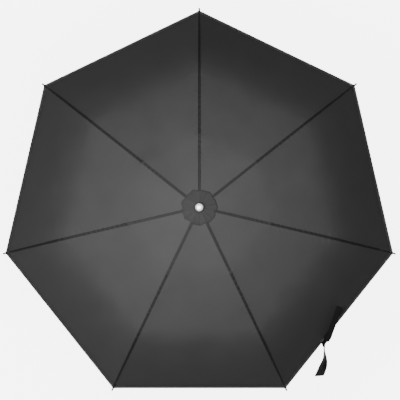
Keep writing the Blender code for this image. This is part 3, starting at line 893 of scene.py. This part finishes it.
def build_handle():
    """Soft-touch grip with shallow finger rings."""
    grip = plastic_material("grip_finish", (0.012, 0.012, 0.013), 0.66, 1500.0, 0.35)
    grip.node_tree.nodes["Principled BSDF"].inputs["Specular IOR Level"].default_value = 0.25
    rows = [(0.0113, 0.0), (0.0125, 0.0), (0.0136, 0.0010), (0.0140, 0.0030)]
    for z in np.linspace(0.005, 0.040, 36):
        base = np.interp(z, (0.003, 0.016, 0.028, 0.039), (0.0140, 0.0135, 0.0127, 0.0134))
        ring = 0.00022 * math.sin((z - 0.008) * 2 * math.pi / 0.004) if 0.008 < z < 0.036 else 0.0
        rows.append((base + ring, z))
    rows += [(0.0140, 0.0470), (0.0136, 0.0550), (0.0129, 0.0585), (0.0118, 0.0612), (0.0102, 0.0629),
             (0.0088, 0.0637), (0.0075, 0.0640), (0.0050, 0.0640), (0.0050, 0.0600), (0.0100, 0.0570)]
    rows += [(0.0100, 0.0280), (0.0113, 0.0120), (0.0113, 0.0)]
    obj = lathe("grip", rows, 96)
    cutter = lathe_out("bore", [(0.0052, 0.0049), (0.020, 0.0049)], 40, capped=True)
    cut = obj.modifiers.new("bore", "BOOLEAN")
    cut.operation, cut.solver, cut.object = "DIFFERENCE", "EXACT", cutter
    bpy.context.view_layer.update()
    result = bpy.data.meshes.new_from_object(obj.evaluated_get(bpy.context.evaluated_depsgraph_get()))
    obj.modifiers.remove(cut)
    obj.data = result
    bpy.data.objects.remove(cutter)
    obj.data.set_sharp_from_angle(angle=math.radians(40))
    obj.data.materials.clear()
    obj.data.materials.append(grip)
    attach(obj, "handle")
    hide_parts("handle_grip")


def lathe_out(name, rows, sides, angle=35.0, capped=False):
    """Round form that points out towards -Y at the button's height, from rows of distance and radius."""
    points = []
    for out, radius in rows:
        for k in range(sides):
            a = 2 * math.pi * k / sides
            points.append((radius * math.cos(a), -out, BUTTON_Z + radius * math.sin(a)))
    faces = grid_faces(len(rows), sides, closed=True)
    if capped:
        faces += [tuple(range(sides)), tuple(range(len(points) - sides, len(points)))]
    made = mesh_object(name, points, faces)
    tidy_mesh(made, angle)
    return made


def build_button():
    """Push button with a dished face and a raised rim."""
    rows = [(0.0076, 0.0), (0.0076, 0.0026), (0.0092, 0.0026), (0.0092, 0.0041), (0.0138, 0.0041),
            (0.0146, 0.0037), (0.0149, 0.0032), (0.0147, 0.0026), (0.0145, 0.0012), (0.01445, 0.0)]
    obj = lathe_out("button", rows, 48, 40.0)
    obj.data.materials.append(plastic_material("button_finish", (0.030, 0.030, 0.032), 0.35))
    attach(obj, "button")
    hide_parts("handle_button")


def dress(prefix, material, bevel=0.00012):
    """Finish for carried-over frame pieces: material, sharp edges kept, small edge rounding."""
    for name, node in NODES.items():
        if not name.startswith(prefix) or node.hide_render:
            continue
        node.data.materials.clear()
        node.data.materials.append(material)
        if bevel:
            edge = node.modifiers.new("edge", "BEVEL")
            edge.width, edge.segments, edge.limit_method = bevel, 2, "ANGLE"
            edge.angle_limit = math.radians(30.0)
            edge.harden_normals = False
            edge.use_clamp_overlap = True


def build_frame_finish():
    steel = metal_material("rib_plating", (0.40, 0.41, 0.43), 0.34, draw=(30, 30, 30), wear=0.18)
    rod = metal_material("rod_plating", (0.46, 0.47, 0.49), 0.30, draw=(30, 30, 30), wear=0.15)
    wire = metal_material("wire_finish", (0.66, 0.67, 0.69), 0.26, draw=(30, 30, 30), wear=0.1)
    moulded = plastic_material("moulded_black", (0.022, 0.022, 0.024), 0.42)
    tip = plastic_material("tip_black", (0.010, 0.010, 0.011), 0.38)
    for prefix in ("inner_rib", "stretcher", "middle_rib"):
        dress(prefix, steel)
    dress("outer_rib", rod)
    dress("link_wire", wire, bevel=0)
    dress("rib_tip", tip, bevel=0)
    for name in ("top_notch", "runner", "handle_cap"):
        dress(name, moulded, bevel=0.0002)


def build_ties():
    """Thread bound round each rib where the canopy is tied to it."""
    thread = bpy.data.materials["thread"]
    radius, reach, below, turns = 0.00028, 0.0043, 0.0021, 2.0
    spots = [(0, 0.085), (1, 0.060), (1, 0.120), (2, 0.075), (2, 0.125)]  # segment, and distance along it
    for index in range(RIBS):
        for number, (part, x) in enumerate(spots):
            lift = 0.0002 + (bow_at(x) if part == 2 else 0.0)
            centre = leg(STARTS[part], SLOPES[part], x, lift + below)
            up, half = way(90.0 - SLOPES[part]), (0.0024 if part < 2 else 0.0018)
            path = []
            for t in np.linspace(0, 2 * math.pi * turns, 41):
                shift = 0.0007 * (t / (2 * math.pi) - 1.0)
                r, z = centre + up * reach * math.cos(t) + way(-SLOPES[part]) * shift
                path.append(rib_point(index, r, z, half * math.sin(t)))
            obj = swept(f"tie_{index + 1}_{number + 1}", path, radius, 6)
            obj.data.materials.append(thread)
            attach(obj, f"rib_{PARTS[part]}_{index + 1}")


# Stage


def build_stage():
    """Pale floor that glows round the object, two round lights above and a dim world."""
    corners = [(x * FLOOR_REACH, y * FLOOR_REACH, FLOOR_Z) for x, y in ((-1, -1), (1, -1), (1, 1), (-1, 1))]
    floor = mesh_object("floor", corners, [(0, 1, 2, 3)], smooth=False)
    shader = Shader("floor_paint", (0.85, 0.85, 0.85), 0.9)
    shader.set("Emission Color", (1.0, 1.0, 1.0, 1.0))
    apart = shader.add("ShaderNodeVectorMath", {"operation": "LENGTH"})
    shader.link(shader.coordinates("Object"), apart.inputs[0])
    glow = shader.ramp(apart.outputs["Value"], GLOW_FROM, GLOW_TO, FLOOR_GLOW, FAR_GLOW)
    shader.link(glow, shader.surface.inputs["Emission Strength"])
    floor.data.materials.append(shader.material)
    area_light("key", *KEY)
    area_light("second", *SECOND)
    world = bpy.data.worlds.new("studio")
    world.use_nodes = True
    world.node_tree.nodes["Background"].inputs["Color"].default_value = (*WORLD_GREY, 1.0)
    world.node_tree.nodes["Background"].inputs["Strength"].default_value = 1.0
    bpy.context.scene.world = world


def area_light(name, spot, size, power):
    """Round soft light that faces straight down."""
    light = bpy.data.lights.new(name, "AREA")
    light.shape, light.size, light.energy = "DISK", size, power
    obj = bpy.data.objects.new(name, light)
    obj.location = spot
    bpy.context.scene.collection.objects.link(obj)


def build_camera():
    """Long lens almost straight above the canopy, a little towards -Y."""
    camera = bpy.data.cameras.new("camera")
    camera.lens, camera.sensor_width = LENS_PER_METRE * CAMERA_FAR, 36.0
    camera.clip_end = 60.0
    obj = bpy.data.objects.new("camera", camera)
    offset = Vector((0.0, -math.sin(CAMERA_TILT), math.cos(CAMERA_TILT))) * CAMERA_FAR
    obj.location = Vector(CAMERA_TARGET) + offset
    obj.rotation_euler = (-offset).to_track_quat("-Z", "Y").to_euler()
    bpy.context.scene.collection.objects.link(obj)
    bpy.context.scene.camera = obj


build_canopy()
build_seams()
build_hems()
build_rosette()
build_strap()
build_ferrule()
build_shaft()
build_handle()
build_button()
build_frame_finish()
build_ties()
build_stage()
build_camera()
